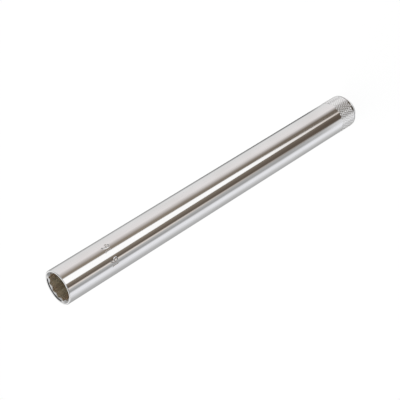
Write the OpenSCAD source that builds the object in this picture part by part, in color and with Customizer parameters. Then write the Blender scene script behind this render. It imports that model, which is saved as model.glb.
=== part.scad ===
// Long-reach spark plug socket: a chromed steel tube with a twelve-point opening for the plug's
// hexagon at one end, and a square drive hole under a knurled finger band at the other. A ring
// magnet behind the opening holds the plug. The socket stands on its drive end: the origin is the
// centre of that end face, and +Z runs along the tube towards the opening.

/* [Tube] */
// Length from the drive face to the rim of the opening
overall_length = 250; // [200:5:320]
// Outside diameter of the tube
body_diameter = 22.2; // [21:0.1:26]
// Chamfer on the outer edge of the rim
rim_chamfer = 0.2; // [0.1:0.05:0.7]

/* [Plug opening] */
// Width across flats of the plug's hexagon
plug_hex = 16; // [14:0.5:16.5]
// Extra width across flats, so that the socket slips over the plug
hex_clearance = 0.15; // [0.05:0.05:0.3]
// Depth of the twelve-point broach below the rim
broach_depth = 17; // [12:1:24]
// Chamfer on the inner edge of the rim
mouth_chamfer = 0.6; // [0.2:0.05:0.8]
// How far the lead-in cone starts outside the twelve points
lead_in_margin = 0.1; // [0.05:0.05:0.3]
// Slope of the lead-in cone from the tube's axis
lead_in_angle = 60; // [40:1:70]
// Width of the recess that the broach runs out into
relief_width = 2.5; // [1.5:0.5:5]
// How far that recess lies outside the twelve points
relief_margin = 0.15; // [0.1:0.05:0.4]

/* [Magnet] */
// Height of the ring magnet
magnet_height = 5; // [3:0.5:9]
// Thickness of the ring's wall
magnet_wall = 2; // [1.2:0.1:3]
// Room around the magnet as it is pushed in past the twelve teeth
magnet_slip = 0.11; // [0.05:0.01:0.3]
// Glue gap between the magnet and its seat
glue_gap = 0.05; // [0.02:0.01:0.1]
// Width of the shoulder that the magnet rests on
magnet_shoulder = 0.8; // [0.5:0.1:1.6]
// Chamfer on the magnet's edges
magnet_chamfer = 0.3; // [0.1:0.05:0.6]

/* [Drive end] */
// Width across flats of the driving square
drive_square = 9.525; // [8.5:0.025:9.8]
// Extra width across flats of the drive hole
drive_clearance = 0.15; // [0.05:0.05:0.3]
// Thickness of the web under the tip of the long bore
drive_web = 12; // [9:0.5:18]
// Tip angle of the drill that made the long bore
drill_tip_angle = 118; // [90:1:140]
// How far the countersink starts outside the square's corners
countersink_margin = 0.15; // [0.1:0.05:0.4]
// Slope of the countersink from the tube's axis
countersink_angle = 60; // [45:1:70]
// Distance of the ball groove from the drive face
ball_groove_distance = 5.8; // [4.5:0.1:7]
// Radius of the ball groove's section
ball_groove_radius = 1.6; // [1.2:0.1:2]
// Depth of the ball groove in the flats of the square
ball_groove_depth = 0.7; // [0.4:0.1:1]
// Length of the chamfer at the drive end, along the tube
end_chamfer_length = 3.2; // [1:0.1:4]
// Depth of that chamfer, across the tube
end_chamfer_depth = 2.4; // [1:0.1:2.6]

/* [Knurl] */
// Width of the plain land between the drive end's chamfer and the knurled band
knurl_land = 0.4; // [0.2:0.1:5]
// Length of the band along the tube
knurl_length = 12.8; // [8:0.2:20]
// Number of diamonds round the band
knurl_count = 44; // [36:1:60]
// Angle of the knurl's grooves to the tube's axis
knurl_angle = 30; // [25:1:45]
// Height of a diamond from groove to peak
knurl_height = 0.32; // [0.2:0.02:0.5]
// How far the peaks stand above the tube
knurl_rise = 0.16; // [0.05:0.01:0.25]

/* [Hidden] */
$fn = 96;
// How far a cutter runs past the face it opens
overrun = 1;
// How far the blank is turned down below the knurl's grooves, where the knurled drum fills it
neck_depth = 0.5;

body_r = body_diameter / 2;

hex_flats = plug_hex + hex_clearance;
point_r = hex_flats / 2 / cos(30);
tooth_r = hex_flats / 2 / cos(15);
lead_in_r = point_r + lead_in_margin;
mouth_r = lead_in_r + mouth_chamfer;
relief_r = point_r + relief_margin;

magnet_r = tooth_r - magnet_slip;
seat_r = magnet_r + glue_gap;
bore_r = seat_r - magnet_shoulder;

rim_z = overall_length;
broach_z = rim_z - broach_depth;
magnet_top_z = broach_z - relief_width;
magnet_z = magnet_top_z - magnet_height;

drive_flats = drive_square + drive_clearance;
countersink_r = drive_flats / 2 * sqrt(2) + countersink_margin;
drill_tip_length = bore_r / tan(drill_tip_angle / 2);
bore_floor_z = drive_web + drill_tip_length;

knurl_peak_r = body_r + knurl_rise;
knurl_groove_r = knurl_peak_r - knurl_height;
knurl_neck_r = knurl_groove_r - neck_depth;
knurl_z = end_chamfer_length + knurl_land;
knurl_top_z = knurl_z + knurl_length;
knurl_pitch = 2 * PI * body_r / knurl_count;
knurl_rows = max(2, round(knurl_length * tan(knurl_angle) / knurl_pitch));

// The tube's outside, turned: drive chamfer, land, neck under the knurl, plain barrel, rim chamfer.
module turned_blank() {
    rotate_extrude()
        polygon([
            [0, 0],
            [body_r - end_chamfer_depth, 0],
            [body_r, end_chamfer_length],
            [body_r, knurl_z],
            [knurl_neck_r, knurl_z],
            [knurl_neck_r, knurl_top_z],
            [body_r, knurl_top_z],
            [body_r, rim_z - rim_chamfer],
            [body_r - rim_chamfer, rim_z],
            [0, rim_z]
        ]);
}

// A drum covered in four-sided pyramids. Its net has two columns and two rows for each diamond:
// where column plus row is even the two families of grooves cross, and between lie the peaks.
// The first and last rows run out at the grooves' depth.
module knurl_drum() {
    columns = 2 * knurl_count;
    rows = 2 * knurl_rows;
    function at(column, row) = row * columns + (column + columns) % columns;
    function is_peak(column, row) = (column + row) % 2 == 1;
    function runs_out(row) = row == 0 || row == rows;
    function net_r(column, row) =
        is_peak(column, row) && !runs_out(row) ? knurl_peak_r : knurl_groove_r;
    net = [
        for (row = [0 : rows], column = [0 : columns - 1])
            let (turn = 360 * column / columns, r = net_r(column, row))
                [r * cos(turn), r * sin(turn), knurl_z + knurl_length * row / rows]
    ];
    upper_sides = [
        for (row = [0 : rows - 1], column = [0 : columns - 1])
            if (is_peak(column, row))
                each [
                    [at(column, row), at(column, row + 1), at(column + 1, row)],
                    [at(column, row), at(column - 1, row), at(column, row + 1)]
                ]
    ];
    lower_sides = [
        for (row = [1 : rows], column = [0 : columns - 1])
            if (is_peak(column, row))
                each [
                    [at(column, row), at(column + 1, row), at(column, row - 1)],
                    [at(column, row), at(column, row - 1), at(column - 1, row)]
                ]
    ];
    bottom = [for (column = [0 : columns - 1]) at(column, 0)];
    top = [for (column = [columns - 1 : -1 : 0]) at(column, rows)];
    polyhedron(net, concat(upper_sides, lower_sides, [bottom, top]));
}

// Two hexagons half a step apart, which take the plug's hexagon in twelve positions.
module twelve_point_broach() {
    translate([0, 0, broach_z])
        linear_extrude(broach_depth + overrun)
            for (turn = [0, 30])
                rotate(turn)
                    circle(r = point_r, $fn = 6);
}

// The turned mouth: the chamfer inside the rim, and under it the flatter cone that bevels the ends
// of the teeth, so that the plug's hexagon finds its way in.
module turned_mouth() {
    translate([0, 0, rim_z])
        rotate_extrude()
            polygon([
                [0, overrun],
                [0, -mouth_chamfer - lead_in_r / tan(lead_in_angle)],
                [lead_in_r, -mouth_chamfer],
                [mouth_r + overrun, overrun]
            ]);
}

// What is cut from the opening down: mouth, twelve points, run-out, magnet seat, drilled bore.
module plug_passage() {
    turned_mouth();
    twelve_point_broach();
    translate([0, 0, magnet_top_z])
        cylinder(h = relief_width, r = relief_r);
    translate([0, 0, magnet_z])
        cylinder(h = magnet_height + relief_width / 2, r = seat_r);
    translate([0, 0, bore_floor_z])
        cylinder(h = magnet_top_z - bore_floor_z, r = bore_r);
    translate([0, 0, drive_web])
        cylinder(h = drill_tip_length, r1 = 0, r2 = bore_r);
}

// The square hole for the ratchet, its countersink, and the groove that its ball snaps into.
module drive_hole() {
    countersink_far_r = countersink_r + overrun * tan(countersink_angle);
    translate([-drive_flats / 2, -drive_flats / 2, -overrun])
        cube([drive_flats, drive_flats, bore_floor_z + overrun]);
    translate([0, 0, -overrun])
        cylinder(h = countersink_far_r / tan(countersink_angle), r1 = countersink_far_r, r2 = 0);
    translate([0, 0, ball_groove_distance])
        rotate_extrude()
            translate([drive_flats / 2 + ball_groove_depth - ball_groove_radius, 0])
                circle(r = ball_groove_radius);
}

// The socket itself, one piece of chrome-vanadium steel.
module socket_body() {
    color([0.82, 0.82, 0.84])
        difference() {
            union() {
                turned_blank();
                knurl_drum();
            }
            plug_passage();
            drive_hole();
        }
}

// The ring magnet, glued on its shoulder behind the broach. The plug's insulator passes through it.
module plug_magnet() {
    hole_r = magnet_r - magnet_wall;
    color([0.4, 0.4, 0.42])
        rotate_extrude()
            polygon([
                [hole_r + magnet_chamfer, magnet_z],
                [magnet_r - magnet_chamfer, magnet_z],
                [magnet_r, magnet_z + magnet_chamfer],
                [magnet_r, magnet_top_z - magnet_chamfer],
                [magnet_r - magnet_chamfer, magnet_top_z],
                [hole_r + magnet_chamfer, magnet_top_z],
                [hole_r, magnet_top_z - magnet_chamfer],
                [hole_r, magnet_z + magnet_chamfer]
            ]);
}

socket_body();
plug_magnet();
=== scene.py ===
import math

import bmesh
import bpy
from mathutils import Matrix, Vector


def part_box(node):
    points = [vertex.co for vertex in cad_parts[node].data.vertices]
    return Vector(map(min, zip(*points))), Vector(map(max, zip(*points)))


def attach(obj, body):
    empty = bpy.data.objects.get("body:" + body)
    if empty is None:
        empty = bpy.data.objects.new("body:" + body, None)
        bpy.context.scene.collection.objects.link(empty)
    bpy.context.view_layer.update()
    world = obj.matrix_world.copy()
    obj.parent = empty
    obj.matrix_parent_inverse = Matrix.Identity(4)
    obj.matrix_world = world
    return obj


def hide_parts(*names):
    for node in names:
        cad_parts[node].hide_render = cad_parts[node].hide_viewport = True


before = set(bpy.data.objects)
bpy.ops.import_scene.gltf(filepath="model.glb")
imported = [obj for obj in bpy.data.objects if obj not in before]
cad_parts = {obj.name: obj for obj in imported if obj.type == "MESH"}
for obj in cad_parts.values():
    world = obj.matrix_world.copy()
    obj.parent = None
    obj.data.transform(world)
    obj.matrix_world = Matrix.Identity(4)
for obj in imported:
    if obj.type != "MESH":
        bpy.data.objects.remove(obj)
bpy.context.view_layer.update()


# The blank of the socket body: one bar of chrome-vanadium steel, turned to a plain tube with a chamfered
# nose. It is drilled from the opening's end, which leaves a thick web for the drive hole.
mm = 0.001
near = 0.002 * mm
_, cad_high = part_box("socket_body")
magnet_low, magnet_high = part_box("plug_magnet")

# Outside: the nose, the band that is knurled later, the place of the size mark, and the rim
length = cad_high.z
knurl_rise = 0.16 * mm
tube_radius = cad_high.x - knurl_rise
nose_depth = 2.4 * mm
nose_length = 3.2 * mm
nose_round = 0.3 * mm
knurl_count = 44
knurl_rows = 5
knurl_height = 0.32 * mm
knurl_land = 0.4 * mm
knurl_length = 12.8 * mm
knurl_bottom = nose_length + knurl_land
knurl_top = knurl_bottom + knurl_length
groove_radius = cad_high.x - knurl_height
stamp_height = 216 * mm
stamp_reach = 4 * mm
rim_chamfer = 0.2 * mm
rim_round = 0.13 * mm

# The opening: a chamfer and a flatter cone, and a pilot hole just inside the teeth that the broach leaves
plug_hex = 16 * mm
hex_clearance = 0.15 * mm
plug_flats = plug_hex + hex_clearance
point_radius = plug_flats / 2 / math.cos(math.radians(30))
tooth_radius = plug_flats / 2 / math.cos(math.radians(15))
broach_depth = 17 * mm
broach_floor = length - broach_depth
lead_in_margin = 0.1 * mm
lead_in_radius = point_radius + lead_in_margin
lead_in_slope = math.tan(math.radians(60))
mouth_chamfer = 0.6 * mm
mouth_radius = lead_in_radius + mouth_chamfer
mouth_round = 0.25 * mm
pilot_margin = 0.2 * mm
pilot_radius = tooth_radius - pilot_margin
lead_in_depth = mouth_chamfer + (lead_in_radius - pilot_radius) / lead_in_slope
relief_margin = 0.15 * mm
relief_radius = point_radius + relief_margin

# Deeper down: the magnet's seat, the long bore with its drilled tip, and the web with its countersink
glue_gap = 0.05 * mm
seat_radius = magnet_high.x + glue_gap
magnet_shoulder = 0.8 * mm
bore_radius = seat_radius - magnet_shoulder
drill_tip_angle = 118
drill_slope = math.tan(math.radians(drill_tip_angle / 2))
web_middle = 12 * mm
drive_square = 9.525 * mm
drive_clearance = 0.15 * mm
drive_flats = drive_square + drive_clearance
countersink_margin = 0.15 * mm
countersink_radius = drive_flats / 2 * math.sqrt(2) + countersink_margin
countersink_slope = math.tan(math.radians(60))
web_margin = 0.8 * mm
web_radius = drive_flats / 2 - web_margin

# Four net columns lie between a groove and a crest of the knurl, so the tube has eight to a diamond
net_step = 4
tube_columns = knurl_count * 2 * net_step
knurl_cuts = knurl_rows * 2 * net_step - 1


def closed_outline(points):
    """A ring of edges through the given (radius, height) points, in the half-plane of +X."""
    shape = bmesh.new()
    corners = [shape.verts.new((radius, 0, height)) for radius, height in points]
    for here, there in zip(corners, corners[1:] + corners[:1]):
        shape.edges.new((here, there))
    return shape


def turn_round(shape, columns):
    """Sweeps the outline once round the tube's axis, as a lathe does."""
    bmesh.ops.spin(shape, geom=shape.verts[:] + shape.edges[:], axis=(0, 0, 1), cent=(0, 0, 0),
                   angle=2 * math.pi, steps=columns, use_merge=True)
    bmesh.ops.recalc_face_normals(shape, faces=shape.faces[:])


def circle_edges(shape, radius, height):
    """The edges of the turned circle with this radius at this height."""
    def is_on_it(vertex):
        return abs(vertex.co.xy.length - radius) < near and abs(vertex.co.z - height) < near

    return [edge for edge in shape.edges if all(is_on_it(vertex) for vertex in edge.verts)]


def round_edges(shape, edges, radius, segments):
    """Breaks sharp edges with a small round."""
    bmesh.ops.bevel(shape, geom=edges, offset=radius, offset_type="OFFSET", segments=segments,
                    profile=0.5, affect="EDGES", material=-1)


body = closed_outline([
    (countersink_radius, 0),
    (tube_radius - nose_depth, 0),
    (tube_radius, nose_length),
    (tube_radius, knurl_bottom),
    (groove_radius, knurl_bottom),
    (groove_radius, knurl_top),
    (tube_radius, knurl_top),
    (tube_radius, stamp_height - stamp_reach),
    (tube_radius, stamp_height + stamp_reach),
    (tube_radius, length - rim_chamfer),
    (tube_radius - rim_chamfer, length),
    (mouth_radius, length),
    (lead_in_radius, length - mouth_chamfer),
    (pilot_radius, length - lead_in_depth),
    (pilot_radius, broach_floor),
    (relief_radius, broach_floor),
    (relief_radius, magnet_high.z),
    (seat_radius, magnet_high.z),
    (seat_radius, magnet_low.z),
    (bore_radius, magnet_low.z),
    (bore_radius, web_middle + bore_radius / drill_slope),
    (web_radius, web_middle + web_radius / drill_slope),
    (web_radius, (countersink_radius - web_radius) / countersink_slope),
])
band_edge = [edge for edge in body.edges
             if all(abs(vertex.co.x - groove_radius) < near for vertex in edge.verts)]
bmesh.ops.subdivide_edges(body, edges=band_edge, cuts=knurl_cuts)
turn_round(body, tube_columns)
round_edges(body, circle_edges(body, tube_radius - nose_depth, 0), nose_round, segments=3)
round_edges(body, circle_edges(body, tube_radius, nose_length), nose_round, segments=4)
round_edges(body, circle_edges(body, tube_radius, length - rim_chamfer), rim_round, segments=3)
round_edges(body, circle_edges(body, tube_radius - rim_chamfer, length), rim_round, segments=3)
round_edges(body, circle_edges(body, mouth_radius, length), mouth_round, segments=4)


# The knurled band: two hardened wheels roll crossed grooves into the tube, so that fingers can start the
# plug. The metal rises between the grooves into flat-topped diamonds, a little proud of the tube.
crest_share = 0.45


def net_place(point):
    """Where a point lies on the knurl's net, in half diamonds round the band and half diamonds up it."""
    column = math.atan2(point.y, point.x) / math.pi * knurl_count
    row = (point.z - knurl_bottom) / (knurl_top - knurl_bottom) * 2 * knurl_rows
    return column, row


def diamond_height(column, row):
    """The knurl's height there: 0 in a groove, 1 on a crest. Half diamonds at the ends run out flat."""
    rising, falling = column + row, column - row
    crest_rising = 2 * math.floor(rising / 2) + 1
    crest_falling = 2 * math.floor(falling / 2) + 1
    crest_row = (crest_rising - crest_falling) / 2
    if not 0 < crest_row < 2 * knurl_rows:
        return 0
    slope = 1 - max(abs(rising - crest_rising), abs(falling - crest_falling))
    return min(1, slope / (1 - crest_share))


def is_in_band(vertex):
    """Whether a vertex of the turned blank lies on the floor of the knurled band."""
    return abs(vertex.co.xy.length - groove_radius) < near and vertex.co.z < knurl_top + near


band_faces = [face for face in body.faces if all(is_in_band(vertex) for vertex in face.verts)]
band_corners = {vertex for face in band_faces for vertex in face.verts}
band_heights = {vertex: diamond_height(*net_place(vertex.co)) for vertex in band_corners}
for face in band_faces:
    middle_height = diamond_height(*net_place(face.calc_center_median()))
    first, second, third, fourth = face.verts
    one_way = (band_heights[first] + band_heights[third]) / 2
    other_way = (band_heights[second] + band_heights[fourth]) / 2
    if abs(one_way - middle_height) < abs(other_way - middle_height):
        bmesh.utils.face_split(face, first, third)
    else:
        bmesh.utils.face_split(face, second, fourth)
for vertex, height in band_heights.items():
    vertex.co.xy *= 1 + height * knurl_height / groove_radius


def finished_object(shape, name):
    """Turns a bmesh into an object that stands at the origin."""
    mesh = bpy.data.meshes.new(name)
    shape.to_mesh(mesh)
    shape.free()
    made = bpy.data.objects.new(name, mesh)
    bpy.context.scene.collection.objects.link(made)
    return made


socket_shell = finished_object(body, "socket_shell")


# The opening for the plug: a broach with twelve rows of teeth is pushed into the drilled mouth, so that the
# plug's hexagon fits in twelve positions. Its points are a little rounded, as the broach's own teeth are.
star_points = 12
star_overrun = 2 * mm
relief_reach = 1 * mm
star_bottom = broach_floor - relief_reach
point_round = 0.22 * mm
tooth_round = 0.12 * mm


def upright_edges(shape, radius):
    """The edges along the tube's axis at this distance from it."""
    def is_upright(edge):
        one_end, other_end = (vertex.co.xy for vertex in edge.verts)
        return (other_end - one_end).length < near and abs(one_end.length - radius) < near

    return [edge for edge in shape.edges if is_upright(edge)]


def evaluated_mesh(piece):
    """The mesh that a piece's curve or modifiers make."""
    return bpy.data.meshes.new_from_object(piece.evaluated_get(bpy.context.evaluated_depsgraph_get()))


def cut_away(piece, tool):
    """Takes the tool's shape out of the piece and throws the tool away."""
    step = piece.modifiers.new("cut", "BOOLEAN")
    step.operation = "DIFFERENCE"
    step.solver = "EXACT"
    step.object = tool
    piece.data = evaluated_mesh(piece)
    piece.modifiers.clear()
    bpy.data.objects.remove(tool)


star = bmesh.new()
bmesh.ops.create_circle(star, cap_ends=True, segments=2 * star_points, radius=point_radius)
for valley in list(star.verts)[1::2]:
    valley.co *= tooth_radius / point_radius
bmesh.ops.translate(star, verts=star.verts[:], vec=(0, 0, star_bottom))
raised = bmesh.ops.extrude_face_region(star, geom=star.faces[:])
raised_corners = [item for item in raised["geom"] if isinstance(item, bmesh.types.BMVert)]
bmesh.ops.translate(star, verts=raised_corners, vec=(0, 0, length + star_overrun - star_bottom))
bmesh.ops.recalc_face_normals(star, faces=star.faces[:])
round_edges(star, upright_edges(star, point_radius), point_round, segments=3)
round_edges(star, upright_edges(star, tooth_radius), tooth_round, segments=3)
cut_away(socket_shell, finished_object(star, "broach"))


# The drive hole: a square is broached through the web for the ratchet's square, and a groove is turned in its
# flats for the ratchet's spring ball.
square_length = 40 * mm
corner_round = 0.35 * mm
groove_distance = 5.8 * mm
ball_radius = 1.6 * mm
ball_depth = 0.7 * mm
square = bmesh.new()
bmesh.ops.create_cube(square, size=1)
bmesh.ops.scale(square, verts=square.verts[:], vec=(drive_flats, drive_flats, square_length))
round_edges(square, upright_edges(square, drive_flats / math.sqrt(2)), corner_round, segments=3)
cut_away(socket_shell, finished_object(square, "square_broach"))

ball_groove = bmesh.new()
bmesh.ops.create_circle(ball_groove, segments=32, radius=ball_radius)
bmesh.ops.rotate(ball_groove, verts=ball_groove.verts[:], cent=(0, 0, 0),
                 matrix=Matrix.Rotation(math.radians(90), 3, "X"))
bmesh.ops.translate(ball_groove, verts=ball_groove.verts[:],
                    vec=(drive_flats / 2 + ball_depth - ball_radius, 0, groove_distance))
turn_round(ball_groove, columns=96)
cut_away(socket_shell, finished_object(ball_groove, "groove_tool"))


# The size mark: a steel roll presses the plain size number into the tube near the opening, twice, before the
# plating. Its strokes are grooves with a round floor, which catch the light.
stroke_radius = 0.46 * mm
stroke_depth = 0.3 * mm
half_height = 2.4 * mm
one_across = -1.8 * mm
hook_across = 0.7 * mm
hook_drop = 0.6 * mm
hook_inset = 0.1 * mm
loop_radius = 1.15 * mm
loop_across = 1.1 * mm
loop_up = loop_radius - half_height
loop_left = loop_across - loop_radius
tail_drop = 0.5 * mm
tail_across = 0.7 * mm
camera_side = math.radians(-90)
mark_turn = math.radians(24)


def stroke_tool(path, is_loop, turn):
    """A round bar along (across, up) points on the tube, at that turn from the side that faces the camera."""
    drawn = bpy.data.curves.new("stroke", "CURVE")
    drawn.dimensions = "3D"
    drawn.bevel_depth = stroke_radius
    drawn.bevel_resolution = 4
    drawn.use_fill_caps = True
    line = drawn.splines.new("POLY")
    line.points.add(len(path) - 1)
    line.use_cyclic_u = is_loop
    reach = tube_radius + stroke_radius - stroke_depth
    for point, (across, up) in zip(line.points, path):
        angle = camera_side + turn + across / tube_radius
        point.co = (reach * math.cos(angle), reach * math.sin(angle), stamp_height + up, 1)
    bar = bpy.data.objects.new("stroke", drawn)
    bpy.context.scene.collection.objects.link(bar)
    shape = bmesh.new()
    shape.from_mesh(evaluated_mesh(bar))
    bpy.data.objects.remove(bar)
    bmesh.ops.remove_doubles(shape, verts=shape.verts[:], dist=near)
    bmesh.ops.recalc_face_normals(shape, faces=shape.faces[:])
    return finished_object(shape, "number_roll")


def curved_path(start, pull, end, steps):
    """Points on a bow from the start to the end, drawn towards the pull."""
    shares = [step / steps for step in range(steps + 1)]
    return [tuple((1 - share) ** 2 * a + 2 * share * (1 - share) * b + share ** 2 * c
                  for a, b, c in zip(start, pull, end)) for share in shares]


one = [(one_across, half_height), (one_across, -half_height)]
hook = [(one_across - hook_across, half_height - hook_drop), (one_across, half_height - hook_inset)]
loop = [(loop_across + loop_radius * math.cos(math.radians(turn)),
         loop_up + loop_radius * math.sin(math.radians(turn))) for turn in range(0, 360, 15)]
tail = curved_path((loop_left, loop_up), (loop_left, half_height - tail_drop),
                   (loop_across + tail_across, half_height), steps=10)
for turn in (mark_turn, -mark_turn):
    for path, is_loop in ((one, False), (hook, False), (loop, True), (tail, False)):
        cut_away(socket_shell, stroke_tool(path, is_loop, turn))


# The finish of the body: bright chrome over polished steel outside, and the broach's own dull, warm nickel
# inside, where the chrome doesn't reach.
def new_node(tree, kind, **settings):
    """Adds a shader node with these settings."""
    made = tree.nodes.new(kind)
    for name, value in settings.items():
        setattr(made, name, value)
    return made


def streaks(tree, scale, stretch, detail):
    """Noise on the piece's own coordinates, drawn out along the tube's axis by the stretch."""
    place = new_node(tree, "ShaderNodeTexCoord")
    squeeze = new_node(tree, "ShaderNodeMapping")
    squeeze.inputs["Scale"].default_value = (1, 1, 1 / stretch)
    noise = new_node(tree, "ShaderNodeTexNoise")
    noise.inputs["Scale"].default_value = scale
    noise.inputs["Detail"].default_value = detail
    tree.links.new(place.outputs["Object"], squeeze.inputs["Vector"])
    tree.links.new(squeeze.outputs["Vector"], noise.inputs["Vector"])
    return noise.outputs["Fac"]


def between(tree, value, span, levels, kind="LINEAR"):
    """The first level where the value is at the span's start, the second at its end, and level beyond."""
    ramp = new_node(tree, "ShaderNodeMapRange", interpolation_type=kind)
    for name, number in zip(("From Min", "From Max", "To Min", "To Max"), (*span, *levels)):
        ramp.inputs[name].default_value = number
    tree.links.new(value, ramp.inputs["Value"])
    return ramp.outputs["Result"]


def spread(tree, noise, levels):
    """Maps the middle of a noise's range to these two levels."""
    return between(tree, noise, (0.3, 0.7), levels)


def mixed(tree, share, first, second):
    """The first colour where the share is 0, the second where it is 1."""
    mix = new_node(tree, "ShaderNodeMix", data_type="RGBA")
    tree.links.new(share, mix.inputs["Factor"])
    for name, colour in (("A", first), ("B", second)):
        if isinstance(colour, tuple):
            mix.inputs[name].default_value = colour
        else:
            tree.links.new(colour, mix.inputs[name])
    return mix.outputs["Result"]


def relief(tree, noise, height):
    """A bump of that height from a noise."""
    bump = new_node(tree, "ShaderNodeBump")
    bump.inputs["Strength"].default_value = 1
    bump.inputs["Distance"].default_value = height
    tree.links.new(noise, bump.inputs["Height"])
    return bump.outputs["Normal"]


def metal(name, dark, light, roughness, stain, grain, grain_height, metallic=1):
    """A metal whose colour and gloss drift with a broad stain, with a fine grain in its surface."""
    finish = bpy.data.materials.new(name)
    finish.use_nodes = True
    tree = finish.node_tree
    shader = tree.nodes["Principled BSDF"]
    shader.inputs["Metallic"].default_value = metallic
    patches = streaks(tree, *stain)
    colour = mixed(tree, spread(tree, patches, (0, 1)), (*dark, 1), (*light, 1))
    tree.links.new(colour, shader.inputs["Base Color"])
    tree.links.new(spread(tree, patches, roughness), shader.inputs["Roughness"])
    tree.links.new(relief(tree, streaks(tree, *grain), grain_height), shader.inputs["Normal"])
    return finish


chrome_plate = metal("chrome_plate", (0.77, 0.765, 0.76), (0.83, 0.83, 0.83), roughness=(0.05, 0.1),
                     stain=(120, 3, 2), grain=(900, 30, 3), grain_height=0.0015 * mm)
broached_nickel = metal("broached_nickel", (0.7, 0.53, 0.4), (0.82, 0.8, 0.66), roughness=(0.2, 0.36),
                        stain=(130, 2, 3), grain=(2500, 20, 2), grain_height=0.008 * mm, metallic=0.55)
mesh = socket_shell.data
mesh.materials.clear()
mesh.materials.append(chrome_plate)
mesh.materials.append(broached_nickel)
countersink_depth = (countersink_radius - drive_flats / 2) / countersink_slope
for polygon in mesh.polygons:
    radius, height = polygon.center.xy.length, polygon.center.z
    is_inside = radius < relief_radius + near
    is_below_the_edges = countersink_depth < height < length - lead_in_depth
    polygon.material_index = 1 if is_inside and is_below_the_edges else 0
    polygon.use_smooth = True
mesh.set_sharp_from_angle(angle=math.radians(25))


def turned_normals(mesh):
    """The mesh's corner normals, made exactly round where the lathe turned it outside and at the rim."""
    most_skew = 0.01
    normals = [normal.vector.copy() for normal in mesh.corner_normals]
    for polygon in mesh.polygons:
        outward = polygon.center.copy()
        outward.z = 0
        radius = outward.length
        is_knurled = knurl_bottom < polygon.center.z < knurl_top
        if radius < pilot_radius or is_knurled:
            continue
        outward.normalize()
        if abs(polygon.normal.x * outward.y - polygon.normal.y * outward.x) > most_skew:
            continue
        lean = polygon.normal.dot(outward)
        for corner in polygon.loop_indices:
            place = mesh.vertices[mesh.loops[corner].vertex_index].co
            reach = place.xy.length
            normals[corner] = (lean * place.x / reach, lean * place.y / reach, polygon.normal.z)
    return normals


mesh.normals_split_custom_set(turned_normals(mesh))
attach(socket_shell, "root")
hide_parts("socket_body")


# The magnet that holds the plug: a pressed and sintered ring with chamfered edges and a dull nickel plate,
# pushed in past the twelve teeth and glued on its shoulder.
magnet_wall = 2 * mm
magnet_chamfer = 0.3 * mm
magnet_outer = magnet_high.x
magnet_inner = magnet_outer - magnet_wall
ring = closed_outline([
    (magnet_inner, magnet_low.z),
    (magnet_outer, magnet_low.z),
    (magnet_outer, magnet_high.z),
    (magnet_inner, magnet_high.z),
])
turn_round(ring, columns=128)
for edge_radius in (magnet_inner, magnet_outer):
    for edge_height in (magnet_low.z, magnet_high.z):
        round_edges(ring, circle_edges(ring, edge_radius, edge_height), magnet_chamfer, segments=3)
ring_magnet = finished_object(ring, "ring_magnet")
ring_magnet.data.materials.append(
    metal("dull_nickel", (0.34, 0.33, 0.31), (0.46, 0.45, 0.42), roughness=(0.32, 0.5),
          stain=(400, 1, 3), grain=(6000, 1, 2), grain_height=0.004 * mm))
for polygon in ring_magnet.data.polygons:
    polygon.use_smooth = True
ring_magnet.data.set_sharp_from_angle(angle=math.radians(35))
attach(ring_magnet, "root")
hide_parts("plug_magnet")


# The stage: a wide white floor under the drive end. To the camera most of it is plain white, and the rest of
# it is a painted surface, which keeps a soft shadow of the socket. The chrome doesn't mirror it.
floor_white = (0.97, 0.97, 0.97, 1)
plain_share = 0.93
plain_strength = 1.035


def math_node(tree, operation, *values):
    """One step of arithmetic on outputs and numbers."""
    step = new_node(tree, "ShaderNodeMath", operation=operation)
    for socket, value in zip(step.inputs, values):
        if isinstance(value, (int, float)):
            socket.default_value = value
        else:
            tree.links.new(value, socket)
    return step.outputs["Value"]


floor_shape = bmesh.new()
bmesh.ops.create_grid(floor_shape, x_segments=1, y_segments=1, size=8)
floor = finished_object(floor_shape, "floor")
floor_paint = bpy.data.materials.new("white_floor")
floor_paint.use_nodes = True
floor_tree = floor_paint.node_tree
floor_shader = floor_tree.nodes["Principled BSDF"]
floor_shader.inputs["Base Color"].default_value = floor_white
floor_shader.inputs["Roughness"].default_value = 0.9
floor_glow = new_node(floor_tree, "ShaderNodeEmission")
floor_glow.inputs["Strength"].default_value = plain_strength
floor_path = new_node(floor_tree, "ShaderNodeLightPath")
floor_share = math_node(floor_tree, "MULTIPLY", floor_path.outputs["Is Camera Ray"], plain_share)
floor_mix = new_node(floor_tree, "ShaderNodeMixShader")
floor_tree.links.new(floor_share, floor_mix.inputs["Fac"])
floor_tree.links.new(floor_shader.outputs["BSDF"], floor_mix.inputs[1])
floor_tree.links.new(floor_glow.outputs["Emission"], floor_mix.inputs[2])
floor_tree.links.new(floor_mix.outputs["Shader"], floor_tree.nodes["Material Output"].inputs["Surface"])
floor.data.materials.append(floor_paint)
floor.visible_glossy = False


# The studio round it: a pale tent with a brown gap where the camera stands, a white strip light in that gap
# that narrows downwards, and over the gap a white card, a dark card and a black flag. The chrome mirrors
# them, and the camera itself sees plain white. The angles here are in degrees.
world = bpy.data.worlds.new("studio")
world.use_nodes = True
bpy.context.scene.world = world
studio = world.node_tree
backdrop = studio.nodes["Background"]

# Where a ray goes: its elevation, and its bearing from the camera's side
direction = new_node(studio, "ShaderNodeTexCoord")
towards = new_node(studio, "ShaderNodeSeparateXYZ")
studio.links.new(direction.outputs["Generated"], towards.inputs["Vector"])
elevation = math_node(studio, "DEGREES", math_node(studio, "ARCSINE", towards.outputs["Z"]))
bearing = math_node(studio, "DEGREES",
                    math_node(studio, "ARCTAN2",
                              math_node(studio, "MULTIPLY", towards.outputs["X"], -1),
                              math_node(studio, "MULTIPLY", towards.outputs["Y"], -1)))


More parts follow.
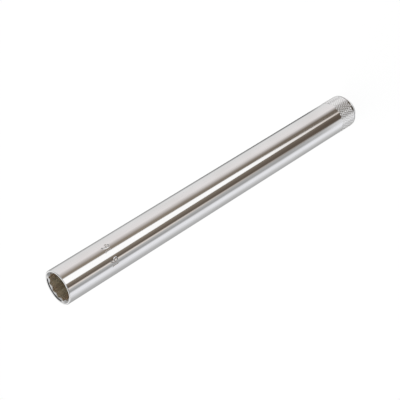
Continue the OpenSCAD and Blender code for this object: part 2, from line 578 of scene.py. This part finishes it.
def round_ramp(colours):
    """The colours at their bearings, blended in between, all the way round."""
    ramp = new_node(studio, "ShaderNodeValToRGB")
    studio.links.new(math_node(studio, "MULTIPLY_ADD", bearing, 1 / 360, 0.5), ramp.inputs["Fac"])
    stops = ramp.color_ramp.elements
    stops[0].position, stops[0].color = 0, colours[0][1]
    stops[1].position, stops[1].color = 1, colours[0][1]
    for angle, colour in colours[1:]:
        stops.new(angle / 360 + 0.5).color = colour
    return ramp.outputs["Color"]


def grey(level):
    """A neutral colour of the tent."""
    return (level, level, level, 1)


white = grey(0.84)
pale = (0.91, 0.873, 0.872, 1)
brown = (0.29, 0.245, 0.2, 1)
dark_brown = (0.18, 0.148, 0.12, 1)
deep_brown = (0.122, 0.095, 0.075, 1)
peach = (1, 0.92, 0.86, 1)
shade = grey(0.45)
cool_white = (0.95, 0.955, 0.99, 1)
black = grey(0.045)

# The walls as the plain tube mirrors them: higher up near the opening, lower down near the drive end. The
# flat tops of the knurl mirror their foot.
high_walls = round_ramp([
    (-180, grey(0.6)),
    (-170, grey(0.25)),
    (-148, grey(0.4)),
    (-130, white),
    (-69, pale),
    (-40, brown),
    (10, brown),
    (33, deep_brown),
    (40, peach),
    (46, grey(0.55)),
    (62, grey(0.35)),
    (73, cool_white),
    (88, cool_white),
    (118, grey(0.57)),
    (160, grey(0.4)),
    (174, white),
])
low_walls = round_ramp([
    (-180, grey(0.5)),
    (-172, grey(0.1)),
    (-142, grey(0.16)),
    (-127, white),
    (-56, pale),
    (-33, dark_brown),
    (0, dark_brown),
    (19, deep_brown),
    (37, deep_brown),
    (48, shade),
    (62, shade),
    (77, cool_white),
    (90, cool_white),
    (112, grey(0.66)),
    (138, shade),
    (160, shade),
    (174, white),
])
foot_walls = round_ramp([
    (-180, white),
    (-127, white),
    (-57, pale),
    (-33, dark_brown),
    (0, dark_brown),
    (19, deep_brown),
    (37, deep_brown),
    (46, white),
    (77, cool_white),
    (90, cool_white),
    (112, grey(0.66)),
    (138, shade),
    (160, shade),
    (174, white),
])
low_to_high = (-41, -29)
foot_to_low = (-40.4, -39.4)
walls = mixed(studio, between(studio, elevation, low_to_high, (0, 1)), low_walls, high_walls)
walls = mixed(studio, between(studio, elevation, foot_to_low, (0, 1)), foot_walls, walls)


def within(start, end, start_blur, end_blur):
    """1 between two bearings and 0 beyond them, blended over that many degrees on both sides of each."""
    past_start = between(studio, math_node(studio, "SUBTRACT", bearing, start),
                         (-start_blur, start_blur), (0, 1), "SMOOTHSTEP")
    before_end = between(studio, math_node(studio, "SUBTRACT", bearing, end),
                         (-end_blur, end_blur), (1, 0), "SMOOTHSTEP")
    return math_node(studio, "MULTIPLY", past_start, before_end)


# The strip light: over a span of elevations each of its two edges runs from one bearing to another, the
# first edge with a bend. Its light is warmer and weaker towards its foot.
strip_start = math_node(studio, "MAXIMUM",
                        between(studio, elevation, (-40, -26), (-17, -27.5)),
                        between(studio, elevation, (-40, -30), (-10.5, -34)))
strip_end = between(studio, elevation, (-40, -27), (-0.8, 8.8))
strip_foot_light = (0.72, 0.64, 0.58, 1)
strip_light = mixed(studio, between(studio, elevation, (-41, -36), (0, 1)), strip_foot_light, grey(1.22))
walls = mixed(studio, within(strip_start, strip_end, start_blur=3, end_blur=2), walls, strip_light)

# Below the walls lies the table, which the nose mirrors and which shows in views from above. Above the walls
# come a belt of cards and a flag.
table = round_ramp([
    (-180, grey(0.72)),
    (-168, grey(1)),
    (-75, pale),
    (-45, brown),
    (-20, brown),
    (-14, grey(1)),
    (8, grey(1)),
    (14, deep_brown),
    (36, deep_brown),
    (48, grey(0.45)),
    (62, grey(0.42)),
    (77, cool_white),
    (120, grey(0.95)),
    (165, grey(0.55)),
])
belt = round_ramp([
    (-180, grey(1)),
    (-171, grey(0.92)),
    (-163, grey(0.36)),
    (-140, grey(0.45)),
    (-120, grey(0.9)),
    (-95, grey(0.75)),
    (-75, grey(0.5)),
    (-25, grey(0.38)),
    (-17, grey(1)),
    (9, grey(1)),
    (20, grey(0.45)),
    (66, grey(0.45)),
    (80, grey(0.95)),
    (120, grey(0.8)),
    (140, grey(0.35)),
    (163, grey(0.28)),
    (171, grey(0.92)),
])


def with_low_card(background, start, end, top, colour):
    """The background with a card before it, up to that elevation and from one bearing to another."""
    side_blur = 5
    top_blur = 1.7
    under_top = between(studio, elevation, (top - top_blur, top), (1, 0), "SMOOTHSTEP")
    across = within(start, end, side_blur, side_blur)
    return mixed(studio, math_node(studio, "MULTIPLY", across, under_top), background, colour)


dark_card = (0.16, 0.145, 0.13, 1)
belt = with_low_card(belt, -57, -11, top=-2.6, colour=grey(1))
belt = with_low_card(belt, 16, 71, top=-3.8, colour=dark_card)
flag = round_ramp([
    (-180, grey(1)),
    (-150, grey(0.6)),
    (-118, grey(0.42)),
    (-108, black),
    (108, black),
    (118, grey(0.75)),
    (150, grey(0.75)),
])
table_middle = grey(0.97)
roof = grey(0.65)

# From the bottom up, each layer is blended into the one below it over a span of elevations
tent_light = table_middle
for span, next_up in (((-74, -68), table), ((-51, -46), walls), ((-14, -7), belt), ((31, 37), flag),
                      ((70, 77), roof)):
    tent_light = mixed(studio, between(studio, elevation, span, (0, 1), "SMOOTHSTEP"), tent_light, next_up)
seen = new_node(studio, "ShaderNodeLightPath")
studio.links.new(mixed(studio, seen.outputs["Is Camera Ray"], tent_light, grey(1)), backdrop.inputs["Color"])

# A soft lamp above and behind the socket gives its shadow on the floor. The chrome doesn't mirror it.
lamp_light = bpy.data.lights.new("soft_lamp", "AREA")
lamp_light.energy = 4
lamp_light.size = 0.6
lamp_place = Matrix.Translation((0, 0.55, 1.05))
lamp_tilt = Matrix.Rotation(math.radians(-33), 4, "X")
soft_lamp = bpy.data.objects.new("soft_lamp", lamp_light)
soft_lamp.matrix_world = lamp_place @ lamp_tilt
soft_lamp.visible_glossy = False
bpy.context.scene.collection.objects.link(soft_lamp)


# The camera: a long lens that looks down along the tube into its opening, turned so that the tube lies across
# the picture from the lower left to the upper right.
camera_back = 0.6044
camera_height = 0.5256
camera_dip = math.radians(32.656)
camera_roll = math.radians(-121.869)
camera_turn = math.radians(0.031)
lens = bpy.data.cameras.new("camera")
lens.lens = 105.2
lens.sensor_width = 36
camera = bpy.data.objects.new("camera", lens)
camera.matrix_world = (Matrix.Translation((0, -camera_back, camera_height))
                       @ Matrix.Rotation(camera_turn, 4, "Z")
                       @ Matrix.Rotation(math.radians(90) - camera_dip, 4, "X")
                       @ Matrix.Rotation(camera_roll, 4, "Z"))
bpy.context.scene.collection.objects.link(camera)
bpy.context.scene.camera = camera
bpy.context.scene.view_settings.view_transform = "Standard"
